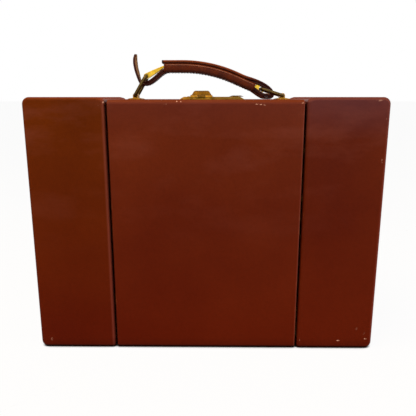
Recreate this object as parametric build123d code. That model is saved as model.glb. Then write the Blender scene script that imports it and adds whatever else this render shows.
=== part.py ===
from build123d import *
import os
from math import acos, atan2, cos, degrees, hypot, radians, sin

# Toiletry case in leather over wooden boards: a centre body with a drop front, an end compartment
# hinged at the back on each side, a sliding lock on top and a ring-hung handle.
# Millimetres, +Z up, front facing -Y. The origin is under the middle of the whole box.

# Case
case_width = 358.6
case_depth = 128.0
body_height = 263.5
wing_rise = 2.5
middle_width = 192.6
wing_gap = 2.5
board = 5.0
leather = 1.2
lining = 0.8
outer_corner = 7.0
inner_corner = 4.5
shoulder_run = 7.0
shoulder_drop = 2.0
shoulder_round = 10.0
soft_edge = 3.2

# Drop front
panel_thickness = 8.0
lip_depth = 30.0
front_gap = 0.6
tray_corner = 1.6
turn_in = 14.0

# Concealed hinges of the drop front
knuckle_count = 3
knuckle_spacing = 70.0
knuckle_length = 14.0
knuckle_radius = 2.3
knuckle_pin_radius = 1.1
knuckle_pin_bite = 6.0
tongue_reach = 22.0
tongue_thickness = 1.4
pocket_clearance = 0.4
pin_clearance = 0.05

# Butt hinges at the back of the wings
butt_length = 45.0
butt_leaf_width = 17.0
butt_leaf = 1.2
butt_knuckles = 3
butt_radius = 2.3
butt_pin_radius = 1.2
butt_split = 0.2
butt_low_z = 52.0
butt_high_z = 212.0

# Ball catches of the wings
catch_inset = 20.0
catch_radius = 2.3
catch_depth = 4.6
catch_ball_radius = 1.9
strike_length = 16.0
strike_width = 5.0
strike_thickness = 0.8

# Inside
shelf_height = 112.0
shelf_thickness = 6.0
shelf_setback = 16.0
shelf_rail = 9.0
pocket_width = 150.0
pocket_height = 92.0
pocket_foot = 46.0
pocket_mouth = 9.0
pocket_skin = 1.4
loop_height = 24.0
loop_centre = 128.0
loop_reach = 18.0
loop_skin = 1.8
loop_land = 6.5
loop_count = 2

# Lock on top of the case
lock_centre = 6.0
lock_length = 68.0
lock_depth = 22.0
lock_rise = 2.8
lock_bevel = 5.0
lock_setback = 1.0
hasp_centre = -4.5
hasp_width = 22.0
hasp_thickness = 1.6
hasp_boss_rise = 4.2
hasp_boss_draft = 3.6
hasp_boss_edge = 0.8
hasp_lift = 0.2
hasp_axis_setback = 11.0
hasp_radius = 2.2
hasp_pin_radius = 1.0
hasp_plate = 1.2
hasp_plate_depth = 13.0
hasp_tail = 16.0
staple_width = 3.0
staple_depth = 8.0
staple_drop = 8.0
staple_wall = 1.8
staple_setback = 6.0
mortise_clearance = 0.5
mortise_swing = 1.6
bolt_clearance = 0.3
bolt_travel = 6.0
lock_case_side = 7.0
thumb_centre = 31.5
thumb_length = 15.0
thumb_width = 11.0
thumb_rise = 1.2
thumb_slope = 3.2
thumb_round = 6.0
thumb_stem = 4.0
thumb_grooves = 4
thumb_groove_radius = 0.6
thumb_groove_depth = 0.25

# Handle
handle_centre = 2.6
staple_span = 159.8
pivot_rise = 4.0
ring_length = 24.0
ring_width = 24.0
ring_wire = 1.8
ring_bend = 3.0
left_ring_angle = 59.0
right_ring_angle = 17.0
eye_radius = 2.7
eye_width = 13.6
pad_length = 16.0
pad_width = 26.0
pad_thickness = 1.6
pad_edge = 0.5
pad_corner = 3.6
grip_across = 19.6
grip_up = 8.2
grip_width = 20.0
grip_height = 9.4
grip_round = 2.6
grip_flat = 19.8
grip_bend = 23.0
grip_straight = 24.0
right_gap = 8.0
core_width = 13.0
core_height = 5.0
core_setback = 10.0
band_width = 18.0
band_thickness = 3.4
band_round = 0.9
band_overhang = 2.1
strap_width = 11.0
strap_thickness = 2.5
strap_seat = 6.0
left_loop_radius = 6.6
left_loop_across = -1.4
left_loop_drop = 2.2
tail_root = 9.0
tail_length = 17.5
tail_lean = 100.0
tail_twist = -6.0
tail_hole_radius = 1.2
tail_hole_inset = 5.0
toe_radius = 3.9
toe_gap = 0.9
strap_lift = 0.9
toe_start = 2.9
toe_length = 7.6
link_radius = 2.9
link_belly_radius = 2.2
link_belly = 10.0
link_tip_radius = 1.0
link_width = 9.0
link_root_lift = 2.0
link_tang = 9.0
open_eye_radius = 3.8
open_eye_play = 1.0
clear = 0.3

# Places that follow from the sizes above
knuckle_out = 2 * butt_radius
front = -(case_depth + knuckle_out) / 2
back = front + case_depth
half_case = case_width / 2
half_middle = middle_width / 2
wing_height = body_height + wing_rise
wing_in = half_middle + wing_gap
wall = board + leather
body_front = front + panel_thickness + front_gap
split = front + lip_depth + front_gap
lip_under = body_height - wall
turn_y = front + panel_thickness / 2
turn_z = panel_thickness / 2
hinge_x = half_middle + wing_gap / 2
hinge_y = back + butt_radius
pivot_z = body_height + pivot_rise
loop_pitch = (case_depth - 2 * (wall + lining)) / loop_count
loop_radius = loop_pitch / 2 - loop_land
left_pivot = (handle_centre - staple_span / 2, pivot_z)
right_pivot = (handle_centre + staple_span / 2, pivot_z)
lock_top = body_height + lock_rise
hasp_y = split - hasp_axis_setback
hasp_z = body_height + hasp_radius
staple_low = lock_top + hasp_lift - staple_drop
staple_start = split + staple_setback
staple_end = staple_start + staple_depth
hole_low = staple_low + staple_wall
hole_high = body_height - bolt_clearance
bolt_tip = hasp_centre + staple_width / 2 + mortise_clearance


def block(x0, x1, y0, y1, z0, z1):
    """A plain block between two corners."""
    return Pos((x0 + x1) / 2, (y0 + y1) / 2, (z0 + z1) / 2) * Box(x1 - x0, y1 - y0, z1 - z0)


def rod_x(radius, x0, x1, y, z):
    """A round rod along X."""
    return Pos((x0 + x1) / 2, y, z) * Rot(0, 90, 0) * Cylinder(radius, x1 - x0)


def rod_y(radius, y0, y1, x, z):
    """A round rod along Y."""
    return Pos(x, (y0 + y1) / 2, z) * Rot(90, 0, 0) * Cylinder(radius, y1 - y0)


def rod_z(radius, z0, z1, x, y):
    """A round rod along Z."""
    return Pos(x, y, (z0 + z1) / 2) * Cylinder(radius, z1 - z0)


def across(sketch, width):
    """A front-view sketch (x, z) thickened evenly both ways along Y."""
    return extrude(Plane.XZ * sketch, width / 2, both=True)


def along(sketch, x0, x1):
    """A side-view sketch (y, z) run along X."""
    return extrude(Plane.YZ.offset(x0) * sketch, x1 - x0)


def rounded(outline, corner, radius):
    """A sketch with the corner nearest to a point rounded."""
    place = Vector(corner[0], corner[1], 0)
    spot = outline.vertices().sort_by(lambda v: (Vector(*v) - place).length)[0]
    return fillet(spot, radius)


def wing_outline():
    """Front view of the right wing, whose top falls in a shoulder to its inner corner."""
    shoulder = (wing_in + shoulder_run, wing_height)
    inner_top = (wing_in, wing_height - shoulder_drop)
    outer_low = (half_case, 0)
    outer_top = (half_case, wing_height)
    outline = Polygon((wing_in, 0), outer_low, outer_top, shoulder, inner_top, align=None)
    outline = rounded(outline, outer_low, outer_corner)
    outline = rounded(outline, outer_top, outer_corner)
    outline = rounded(outline, shoulder, shoulder_round)
    return rounded(outline, inner_top, inner_corner)


def wing_form(inset):
    """The right wing as a soft-edged block, or drawn in by an inset with the boards' square edges."""
    outline = wing_outline()
    if inset:
        outline = offset(outline, -inset, kind=Kind.INTERSECTION)
    form = extrude(Plane.XZ.offset(-front - inset) * outline, -(case_depth - 2 * inset))
    if inset:
        return form
    rims = form.faces().sort_by(Axis.Y)[0].edges() + form.faces().sort_by(Axis.Y)[-1].edges()
    return fillet(rims, soft_edge)


def wing_room(skin):
    """The space inside the right wing, open towards the middle; the skin is the lining's thickness."""
    return block(
        wing_in - leather,
        half_case - wall - skin,
        front + wall + skin,
        back - wall - skin,
        wall + skin,
        wing_height - wall - skin,
    )


def wing_boards():
    """Wooden tray of the right wing."""
    return wing_form(leather) - wing_room(0)


def wing_leather():
    """Leather over the tray, turned over its rim."""
    return wing_form(0) - wing_form(leather) - wing_room(0)


def wing_lining():
    """Lining of the tray, ending at the boards' rim."""
    skin = wing_room(0) - wing_room(lining)
    return skin - block(0, wing_in + leather, front, back, 0, wing_height)


def wing_loops():
    """A leather strip on the outer wall with a standing loop for each bottle."""
    floor_x = half_case - wall - lining
    crown_x = floor_x - loop_reach
    middle = (front + back) / 2
    strip = block(
        floor_x - loop_skin,
        floor_x,
        middle - loop_pitch * loop_count / 2,
        middle + loop_pitch * loop_count / 2,
        loop_centre - loop_height / 2,
        loop_centre + loop_height / 2,
    )
    for number in range(loop_count):
        y = middle + (number - (loop_count - 1) / 2) * loop_pitch
        arch = Circle(loop_radius) + Pos(loop_reach / 2, 0) * Rectangle(loop_reach, 2 * loop_radius)
        hole_radius = loop_radius - loop_skin
        hole = Circle(hole_radius) + Pos(loop_reach / 2, 0) * Rectangle(loop_reach, 2 * hole_radius)
        band = Pos(crown_x, y, loop_centre - loop_height / 2) * extrude(arch - hole, loop_height)
        strip += band & block(0, floor_x, front, back, 0, wing_height)
    return strip


def catch_place():
    """Where the ball catch of the right wing sits, in the middle of the bottom: along Y and Z."""
    return body_front + catch_inset, wall / 2


def wing_strike():
    """Brass strike on the rim of the right wing, with a hole for the ball."""
    y, z = catch_place()
    x = wing_in - strike_thickness
    along_y = strike_length / 2
    up_z = strike_width / 2
    plate = block(x, wing_in, y - along_y, y + along_y, z - up_z, z + up_z)
    return plate - rod_x(catch_ball_radius + clear, half_middle, half_case, y, z)


def ball_catch():
    """Barrel let into the body's end wall, with its ball standing in the gap."""
    y, z = catch_place()
    barrel = rod_x(catch_radius, half_middle - catch_depth, half_middle, y, z)
    return barrel + Pos(half_middle, y, z) * Sphere(catch_ball_radius)


def body_form(inset):
    """The centre body with a step for the drop front's lip, soft-edged or square within an inset."""
    form = block(
        -half_middle + inset,
        half_middle - inset,
        body_front + inset,
        back - inset,
        inset,
        body_height - inset,
    )
    if not inset:
        form = fillet(form.faces().sort_by(Axis.Y)[-1].edges(), soft_edge)
    step_z = lip_under - front_gap
    return form - block(-half_case, half_case, front, split + inset, step_z - inset, wing_height)


def body_room(skin):
    """The space inside the centre body, open at the front and under the lip."""
    return block(
        -half_middle + wall + skin,
        half_middle - wall - skin,
        front,
        back - wall - skin,
        wall + skin,
        lip_under - skin,
    )


def lock_recess():
    """The pocket in the top board that the lock case fills, with the staple's way out to the front."""
    low, high = lock_case_span()
    return block(low, high, split, lock_case_back(), lip_under - leather, body_height)


def lock_case_span():
    """Where the lock case starts and ends along X."""
    low = hasp_centre - staple_width / 2 - lock_case_side
    high = thumb_centre + thumb_stem / 2 + lock_case_side
    return low, high


def lock_case_back():
    """The rear face of the lock case."""
    return split + staple_setback + staple_depth + mortise_swing + staple_wall


def tongue_slots():
    """Slots in the bottom board's front edge for the hinge tongues."""
    slots = []
    for x in knuckle_places():
        slots.append(
            block(
                x - knuckle_length / 2,
                x + knuckle_length / 2,
                body_front,
                turn_y + tongue_reach,
                turn_z - tongue_thickness / 2,
                turn_z + tongue_thickness / 2,
            )
        )
    return slots


def body_cuts():
    """Everything that is let into the centre body."""
    y, z = catch_place()
    barrel = rod_x(catch_radius, half_middle - catch_depth, half_middle, y, z)
    return [lock_recess(), barrel, mirror(barrel, Plane.YZ)] + tongue_slots()


def body_boards():
    """Wooden carcass of the centre body."""
    return body_form(leather) - body_room(0) - body_cuts()


def body_leather():
    """Leather over the carcass, turned over its front edges."""
    return body_form(0) - body_form(leather) - body_room(0) - body_cuts()


def body_lining():
    """Lining of the centre body, ending behind the leather's turned edge."""
    skin = body_room(0) - body_room(lining)
    skin -= block(-half_case, half_case, front, body_front + leather, 0, wing_height)
    return skin - block(-half_case, half_case, front, split, lip_under - lining, wing_height)


def inner_shelf():
    """A shelf across the body with a low rail at its front."""
    side = half_middle - wall - lining
    rear = back - wall - lining
    fore = body_front + shelf_setback
    shelf = block(-side, side, fore, rear, shelf_height, shelf_height + shelf_thickness)
    rail = block(-side, side, fore, fore + board, shelf_height, shelf_height + shelf_thickness + shelf_rail)
    shelf += rail
    nose = shelf.edges().filter_by(Axis.X).group_by(Axis.Y)[0]
    return fillet(nose, board / 4)


def cover_profile(inset):
    """Side view of the drop front: an upright panel with a lip on top."""
    panel = Polygon(
        (front + inset, inset),
        (front + panel_thickness - inset, inset),
        (front + panel_thickness - inset, lip_under + inset),
        (front + lip_depth - inset, lip_under + inset),
        (front + lip_depth - inset, body_height - inset),
        (front + inset, body_height - inset),
        align=None,
    )
    foot_radius = panel_thickness / 2 - inset - pin_clearance
    foot = panel.vertices().group_by(Axis.Y)[0]
    panel = fillet(foot, foot_radius)
    brow = panel.vertices().group_by(Axis.X)[0].sort_by(Axis.Y)[-1]
    panel = fillet(brow, soft_edge + leather - inset)
    return panel


def cover_form(inset):
    """The drop front with its ends softened, or drawn in by an inset with square ends."""
    form = along(cover_profile(inset), -half_middle + inset, half_middle - inset)
    if inset:
        return form
    ends = form.faces().sort_by(Axis.X)
    rims = ends[0].edges() + ends[-1].edges()
    return fillet(rims, tray_corner)


def knuckle_places():
    """Where the concealed hinges sit along X."""
    middle = (knuckle_count - 1) / 2
    return [(number - middle) * knuckle_spacing for number in range(knuckle_count)]


def hinge_pockets():
    """Pockets behind and under the panel's foot that free the hinge knuckles over the whole turn."""
    reach = panel_thickness
    lift = knuckle_radius + pocket_clearance
    side = knuckle_length / 2 + pocket_clearance
    pockets = []
    for x in knuckle_places():
        swept = rod_x(lift, x - side, x + side, turn_y, turn_z)
        swept += block(x - side, x + side, turn_y - lift / 2, turn_y + reach, -turn_z, turn_z)
        swept += block(x - side, x + side, turn_y, turn_y + reach, turn_z, turn_z + lift)
        pockets.append(swept)
    return pockets


def pin_bores():
    """Bores for the hinge pins in the panel's foot."""
    half = knuckle_length / 2 + knuckle_pin_bite
    return [rod_x(knuckle_pin_radius, x - half, x + half, turn_y, turn_z) for x in knuckle_places()]


def cover_window():
    """The opening in the leather behind the panel that the lining closes."""
    return block(
        -half_middle + turn_in,
        half_middle - turn_in,
        front + panel_thickness - leather,
        front + panel_thickness,
        turn_in,
        lip_under - turn_in,
    )


def cover_boards():
    """Wooden panel and lip of the drop front."""
    return cover_form(leather) - hinge_pockets() - pin_bores()


def cover_leather():
    """Leather round the panel and lip, open behind the panel."""
    return cover_form(0) - cover_form(leather) - cover_window() - hinge_pockets() - pin_bores()


def cover_lining():
    """Lining that fills the opening behind the panel."""
    window = cover_window()
    y = front + panel_thickness - leather
    return window & block(-half_case, half_case, y, y + lining, 0, wing_height)


def cover_pocket():
    """A bowed leather pocket on the lining, open at its top."""
    y = front + panel_thickness - leather + lining
    outline = Rectangle(pocket_width, pocket_mouth, align=(Align.CENTER, Align.MIN))
    ends = outline.vertices().group_by(Axis.Y)[-1]
    outline = fillet(ends, pocket_mouth - pocket_skin)
    room_width = pocket_width - 2 * pocket_skin
    room = Rectangle(room_width, pocket_mouth - pocket_skin, align=(Align.CENTER, Align.MIN))
    room_ends = room.vertices().group_by(Axis.Y)[-1]
    room = fillet(room_ends, pocket_mouth - 2 * pocket_skin)
    bag = Pos(0, y, pocket_foot) * extrude(outline, pocket_height)
    hollow = Pos(0, y, pocket_foot + pocket_skin) * extrude(room, pocket_height)
    return bag - hollow


def knuckle_rods(radius):
    """A round of one radius through every concealed hinge."""
    half = knuckle_length / 2
    return [rod_x(radius, x - half, x + half, turn_y, turn_z) for x in knuckle_places()]


def cover_hinges():
    """Brass knuckles of the drop front, each with its tongue let into the bottom board."""
    hinges = []
    for x, knuckle, bore in zip(
        knuckle_places(), knuckle_rods(knuckle_radius), knuckle_rods(knuckle_pin_radius + pin_clearance)
    ):
        tongue = block(
            x - knuckle_length / 2,
            x + knuckle_length / 2,
            turn_y,
            turn_y + tongue_reach,
            turn_z - tongue_thickness / 2,
            turn_z + tongue_thickness / 2,
        )
        hinges.append(knuckle + tongue - bore)
    return Compound(children=hinges)


def cover_pins():
    """Pins of the concealed hinges, fast in the panel."""
    return Compound(children=pin_bores())


def butt_bands():
    """The knuckles of one butt hinge as low and high edges from its middle, from the bottom up."""
    pitch = butt_length / butt_knuckles
    low = -butt_length / 2
    return [(low + n * pitch, low + (n + 1) * pitch - butt_split) for n in range(butt_knuckles)]


def butt_leaves(side):
    """Leaves of the right wing's hinges; side is 1 on the wing and -1 on the body."""
    leaves = []
    free = butt_radius + clear
    for centre in (butt_low_z, butt_high_z):
        near = hinge_x + side * free
        far = hinge_x + side * butt_leaf_width
        low, high = min(near, far), max(near, far)
        half = butt_length / 2
        leaf = block(low, high, back, back + butt_leaf, centre - half, centre + half)
        own = 0 if side < 0 else 1
        for z0, z1 in butt_bands()[own::2]:
            knuckle = rod_z(butt_radius, centre + z0, centre + z1, hinge_x, hinge_y)
            bridge_low, bridge_high = min(hinge_x, near), max(hinge_x, near)
            bridge = block(bridge_low, bridge_high, back, back + butt_leaf, centre + z0, centre + z1)
            leaf += knuckle + bridge
        leaf -= rod_z(butt_pin_radius + pin_clearance, centre - half, centre + half, hinge_x, hinge_y)
        leaves.append(leaf)
    return Compound(children=leaves)


def butt_pins():
    """Pins of the right wing's butt hinges."""
    half = butt_length / 2
    pins = [rod_z(butt_pin_radius, z - half, z + half, hinge_x, hinge_y) for z in (butt_low_z, butt_high_z)]
    return Compound(children=pins)


def staple_slot(play):
    """The staple's slot, open to the front so that the drop front carries the staple straight out."""
    half = staple_width / 2 + play
    rear = staple_end + mortise_swing
    return block(hasp_centre - half, hasp_centre + half, split, rear, staple_low - play, lock_top)


def stem_slot():
    """The slot that the thumb piece's stem runs in."""
    low = thumb_centre - thumb_stem / 2 - bolt_travel - clear
    high = thumb_centre + thumb_stem / 2 + clear
    middle = (staple_start + staple_end) / 2
    half = thumb_stem / 2 + clear
    return block(low, high, middle - half, middle + half, hole_low, lock_top)


def bolt_room(play):
    """The bolt's bar along X, widened by a play on its sides."""
    return block(
        bolt_tip - (bolt_travel + bolt_clearance if play else 0),
        thumb_centre + thumb_stem / 2 + play,
        staple_start + staple_wall + bolt_clearance - play,
        staple_end - staple_wall - bolt_clearance + play,
        hole_low + bolt_clearance - play,
        hole_high - bolt_clearance + play,
    )


def lock_case():
    """Brass case let into the top board, with the bolt's way and the staple's slot."""
    low, high = lock_case_span()
    case = block(low, high, split, lock_case_back(), lip_under, body_height)
    return case - bolt_room(bolt_clearance) - staple_slot(mortise_clearance) - stem_slot()


def lock_plate():
    """Plate over the lock case, bevelled at both ends."""
    half = lock_length / 2
    outline = Polygon(
        (lock_centre - half, body_height),
        (lock_centre + half, body_height),
        (lock_centre + half - lock_bevel, lock_top),
        (lock_centre - half + lock_bevel, lock_top),
        align=None,
    )
    near = split + lock_setback
    plate = extrude(Plane.XZ.offset(-near) * outline, -lock_depth)
    return plate - staple_slot(mortise_clearance) - stem_slot()


def lock_bolt():
    """The bolt, drawn back beside the staple's slot."""
    return bolt_room(0)


def thumb_piece():
    """Low domed thumb piece with shallow grooves, on its stem."""
    middle = (staple_start + staple_end) / 2
    low = lock_top + pin_clearance * 2
    top = low + thumb_rise
    half = thumb_length / 2
    outline = Polygon(
        (thumb_centre - half, low),
        (thumb_centre + half, low),
        (thumb_centre + half - thumb_slope, top),
        (thumb_centre - half + thumb_slope, top),
        align=None,
    )
    outline = fillet(outline.vertices().group_by(Axis.Y)[-1], thumb_round)
    piece = Pos(0, middle, 0) * across(outline, thumb_width)
    pitch = (thumb_length - 2 * thumb_slope) / (thumb_grooves + 1)
    groove_z = top + thumb_groove_radius - thumb_groove_depth
    for number in range(thumb_grooves):
        x = thumb_centre + (number - (thumb_grooves - 1) / 2) * pitch
        piece -= rod_y(thumb_groove_radius, middle - thumb_width, middle + thumb_width, x, groove_z)
    half_stem = thumb_stem / 2
    stem = block(
        thumb_centre - half_stem,
        thumb_centre + half_stem,
        middle - half_stem,
        middle + half_stem,
        hole_high - bolt_clearance,
        low,
    )
    return piece + stem


def hasp_bands():
    """Knuckles of the hasp's hinge along X: the plate's outer pair and the hasp's middle one."""
    third = hasp_width / 3
    left = (hasp_centre - hasp_width / 2, hasp_centre - third / 2 - clear / 2)
    middle = (hasp_centre - third / 2 + clear / 2, hasp_centre + third / 2 - clear / 2)
    right = (hasp_centre + third / 2 + clear / 2, hasp_centre + hasp_width / 2)
    return left, middle, right


def hasp_bore():
    """Bore of the hasp's pin."""
    radius = hasp_pin_radius + pin_clearance
    return rod_x(radius, hasp_centre - hasp_width, hasp_centre + hasp_width, hasp_y, hasp_z)


def hasp_hinge_plate():
    """Plate on the lip that carries the hasp's pin."""
    half = hasp_width / 2
    free = hasp_radius + clear
    fore = hasp_y - free - hasp_plate_depth
    top = body_height + hasp_plate
    plate = block(hasp_centre - half, hasp_centre + half, fore, hasp_y - free, body_height, top)
    left, _, right = hasp_bands()
    for x0, x1 in (left, right):
        plate += rod_x(hasp_radius, x0, x1, hasp_y, hasp_z)
        plate += block(x0, x1, hasp_y - free, hasp_y, body_height, top)
    return plate - hasp_bore()


def hasp_pin():
    """Pin of the hasp's hinge."""
    half = hasp_width / 2
    return rod_x(hasp_pin_radius, hasp_centre - half, hasp_centre + half, hasp_y, hasp_z)


def hasp():
    """Hasp that reaches back over the lock plate, with its raised boss."""
    half = hasp_width / 2
    free = hasp_radius + clear
    low = lock_top + hasp_lift
    top = low + hasp_thickness
    rear = split + hasp_tail
    plate = block(hasp_centre - half, hasp_centre + half, hasp_y + free, rear, low, top)
    _, middle, _ = hasp_bands()
    plate += rod_x(hasp_radius, middle[0], middle[1], hasp_y, hasp_z)
    plate += block(middle[0], middle[1], hasp_y, hasp_y + free, low, top)
    depth = rear - hasp_y - 2 * free
    base = Pos(hasp_centre, rear - depth / 2, low) * Rectangle(hasp_width, depth)
    crown = Pos(hasp_centre, rear - depth / 2, top + hasp_boss_rise) * Rectangle(
        hasp_width - 2 * hasp_boss_draft, depth - 2 * hasp_boss_draft
    )
    boss = loft([base, crown])
    boss = chamfer(boss.faces().sort_by(Axis.Z)[-1].edges(), hasp_boss_edge)
    return plate + boss - hasp_bore()


def hasp_staple():
    """Staple under the hasp that the bolt passes through."""
    half = staple_width / 2
    body = block(
        hasp_centre - half,
        hasp_centre + half,
        staple_start,
        staple_end,
        staple_low,
        lock_top + hasp_lift,
    )
    hole = block(
        hasp_centre - staple_width,
        hasp_centre + staple_width,
        staple_start + staple_wall,
        staple_end - staple_wall,
        hole_low,
        hole_high,
    )
    return body - hole


def turned(point, distance, angle):
    """A point a distance away from another in the front view, at an angle from +X."""
    return point[0] + distance * cos(radians(angle)), point[1] + distance * sin(radians(angle))


left_bar = turned(left_pivot, ring_length, left_ring_angle)
right_bar = turned(right_pivot, ring_length, 180 - right_ring_angle)
grip_start = (left_bar[0] + grip_across, left_bar[1] + grip_up)


def ring(pivot, bar):
    """A wire ring from its pivot to its upper bar, in the slanted plane through both."""
    quarter_turn = 90
    slope = degrees(atan2(bar[1] - pivot[1], bar[0] - pivot[0]))
    half = ring_width / 2 - ring_wire
    run = half - ring_bend
    loop = rod_y(ring_wire, -run, run, 0, 0) + rod_y(ring_wire, -run, run, ring_length, 0)
    for side in (-1, 1):
        loop += rod_x(ring_wire, ring_bend, ring_length - ring_bend, side * half, 0)
    corners = [
        (ring_length - ring_bend, run),
        (ring_bend, run),
        (ring_bend, -run),
        (ring_length - ring_bend, -run),
    ]
    for number, centre in enumerate(corners):
        bend = CenterArc(centre, ring_bend, number * quarter_turn, quarter_turn)
        loop += sweep((bend ^ 0) * Circle(ring_wire), path=bend)
    return Pos(pivot[0], 0, pivot[1]) * Rot(0, -slope, 0) * loop


def ring_staple(pivot):
    """Low domed base pad with the eye that a ring's lower bar turns in."""
    rise = pad_thickness - pad_edge
    dome_radius = (pad_length**2 / 4 + rise**2) / (2 * rise)
    dome_z = body_height + pad_thickness - dome_radius
    pad = Pos(pivot[0], 0, body_height + pad_thickness / 2) * Box(pad_length, pad_width, pad_thickness)
    pad = fillet(pad.edges().filter_by(Axis.Z), pad_corner)
    pad &= rod_y(dome_radius, -pad_width, pad_width, pivot[0], dome_z)
    outline = Pos(pivot[0], pivot[1]) * Circle(eye_radius)
    foot_low = body_height + pad_thickness / 2
    foot = Pos(pivot[0], (pivot[1] + foot_low) / 2) * Rectangle(2 * eye_radius, pivot[1] - foot_low)
    bore = rod_y(ring_wire + pin_clearance, -pad_width, pad_width, pivot[0], pivot[1])
    return pad + across(outline + foot, eye_width) - bore


def grip_path(start_back, end_back):
    """The grip's middle line in the front view: level, then bent down to fill the room between the rings."""
    start = (grip_start[0] + start_back, grip_start[1])
    level = Line(start, (grip_start[0] + grip_flat, grip_start[1]))
    room_left = right_bar[0] - right_gap - grip_straight * cos(radians(grip_bend)) - (level @ 1).X
    bend = JernArc(level @ 1, (1, 0), room_left / sin(radians(grip_bend)), -grip_bend)
    slope = bend @ 1 + (bend % 1) * (grip_straight - end_back)
    return Plane.XZ * Wire([level.edge(), bend.edge(), Line(bend @ 1, slope).edge()])


def grip_end():
    """The middle of the grip's right end and its direction in the front view."""
    line = grip_path(0, 0)
    return (line @ 1).X, (line @ 1).Z


def grip_run(start_back, end_back, width, height, lift, rounding):
    """A rounded bar along the grip's middle line, lifted from it towards its top."""
    line = grip_path(start_back, end_back)
    section = Rectangle(width, height)
    if rounding:
        section = fillet(section.vertices(), rounding)
    start = Plane(origin=line @ 0, x_dir=(0, 1, 0), z_dir=(1, 0, 0))
    return sweep(start * Pos(0, lift) * section, path=line)


def grip_leather():
    """Leather body of the grip, hollow for its core and links."""
    outside = grip_run(0, 0, grip_width, grip_height, 0, grip_round)
    return outside - grip_run(0, 0, core_width, core_height, 0, 0)


def grip_core():
    """Stiff core inside the grip."""
    return grip_run(core_setback, core_setback, core_width, core_height, 0, 0)


def grip_band():
    """Leather band along the grip's top."""
    lift = (grip_height + band_thickness) / 2
    return grip_run(-band_overhang, 0, band_width, band_thickness, lift, band_round)


def left_link():
    """Brass link from the left ring's bar into the grip, thicker half way and slim at the grip."""
    tip = (grip_start[0] - link_tip_radius, grip_start[1] + core_height / 2 - link_tip_radius)
    bearing = degrees(atan2(tip[1] - left_bar[1], tip[0] - left_bar[0]))
    belly = turned(left_bar, link_belly, bearing)
    places = [(left_bar, link_radius), (belly, link_belly_radius), (tip, link_tip_radius)]
    outline = Sketch() + [Pos(*place) * Circle(radius) for place, radius in places]
    link = across(make_hull(outline.edges()), link_width)
    tang = block(
        tip[0],
        grip_start[0] + link_tang,
        -link_width / 2,
        link_width / 2,
        tip[1] - link_tip_radius,
        tip[1] + link_tip_radius,
    )
    return link + tang - rod_y(ring_wire + pin_clearance, -link_width, link_width, *left_bar)


def right_link():
    """Brass link from the right ring's bar into the grip, with a wide eye."""
    end = grip_end()
    eye = Pos(*right_bar) * Circle(open_eye_radius)
    root_place = turned(turned(end, link_radius, -grip_bend), link_root_lift, 90 - grip_bend)
    root = Pos(*root_place) * Circle(link_radius - clear)
    link = across(make_hull((eye + root).edges()), link_width)
    tang_middle = turned(end, link_radius / 2 - link_tang / 2, -grip_bend)
    tang = Pos(tang_middle[0], 0, tang_middle[1]) * Rot(0, grip_bend, 0) * Box(
        link_tang + link_radius, link_width, core_height
    )
    return link + tang - rod_y(ring_wire + open_eye_play, -link_width, link_width, *right_bar)


def left_strap():
    """Strap under the left end that goes round the ring's bar and stands up with its end undone."""
    half = strap_thickness / 2
    edge = (grip_start[0], grip_start[1] - grip_height / 2 - half)
    centre = (left_bar[0] + left_loop_across, left_bar[1] - left_loop_drop)
    away = hypot(edge[0] - centre[0], edge[1] - centre[1])
    bearing = degrees(atan2(edge[1] - centre[1], edge[0] - centre[0]))
    touch_angle = bearing - degrees(acos(left_loop_radius / away))
    touch = turned(centre, left_loop_radius, touch_angle)
    leave_angle = tail_lean + 90
    arc_size = touch_angle + 360 - leave_angle
    around = CenterArc(centre, left_loop_radius, touch_angle, -arc_size)
    leave = turned(centre, left_loop_radius, leave_angle)
    top = turned(leave, tail_root, tail_lean)
    line = Plane.XZ * Wire([Line(edge, touch).edge(), around.edge(), Line(leave, top).edge()])
    section = Rectangle(strap_width, strap_thickness)
    strap = sweep(Plane(origin=line @ 0, x_dir=(0, 1, 0), z_dir=line % 0) * section, path=line)
    side = strap_width / 2
    strap += rod_y(half, -side, side, *edge)
    strap += block(edge[0], edge[0] + strap_seat, -side, side, edge[1] - half, edge[1] + half)
    tail = Rectangle(strap_width, tail_length, align=(Align.CENTER, Align.MIN))
    tail = fillet(tail.vertices().group_by(Axis.Y)[-1], strap_width / 2 - clear)
    tail -= Pos(0, tail_length - tail_hole_inset) * Circle(tail_hole_radius)
    plate = Plane(origin=(0, 0, 0), x_dir=(0, 1, 0), z_dir=(1, 0, 0)) * extrude(tail, half, both=True)
    plate = Rot(0, 0, tail_twist) * plate
    foot = turned(leave, tail_root - strap_thickness, tail_lean)
    return strap + Pos(foot[0], 0, foot[1]) * Rot(0, 90 - tail_lean, 0) * plate


def right_strap():
    """Strap loop that goes over the right ring's bar and back under the grip."""
    end = grip_end()
    floor_z = body_height + toe_radius + toe_gap
    toe_x = right_bar[0] + toe_start
    places = [
        (turned(end, strap_lift, 90 - grip_bend), grip_height / 2 + strap_thickness),
        (right_bar, open_eye_radius + clear + strap_thickness),
        ((toe_x, floor_z), toe_radius),
        ((toe_x + toe_length, floor_z), toe_radius),
    ]
    outer = Sketch() + [Pos(*place) * Circle(radius) for place, radius in places]
    inner = Sketch() + [Pos(*place) * Circle(radius - strap_thickness) for place, radius in places]
    loop = across(make_hull(outer.edges()), strap_width) - across(make_hull(inner.edges()), strap_width * 2)
    keep = Pos(end[0], 0, end[1]) * Rot(0, grip_bend, 0) * Pos(case_depth / 2, 0, 0) * Box(
        case_depth, case_depth, case_depth
    )
    return loop & keep


def both_sides(part):
    """A right-hand part and its left-hand mirror image."""
    return {"right": part, "left": mirror(part, Plane.YZ)}


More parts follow.
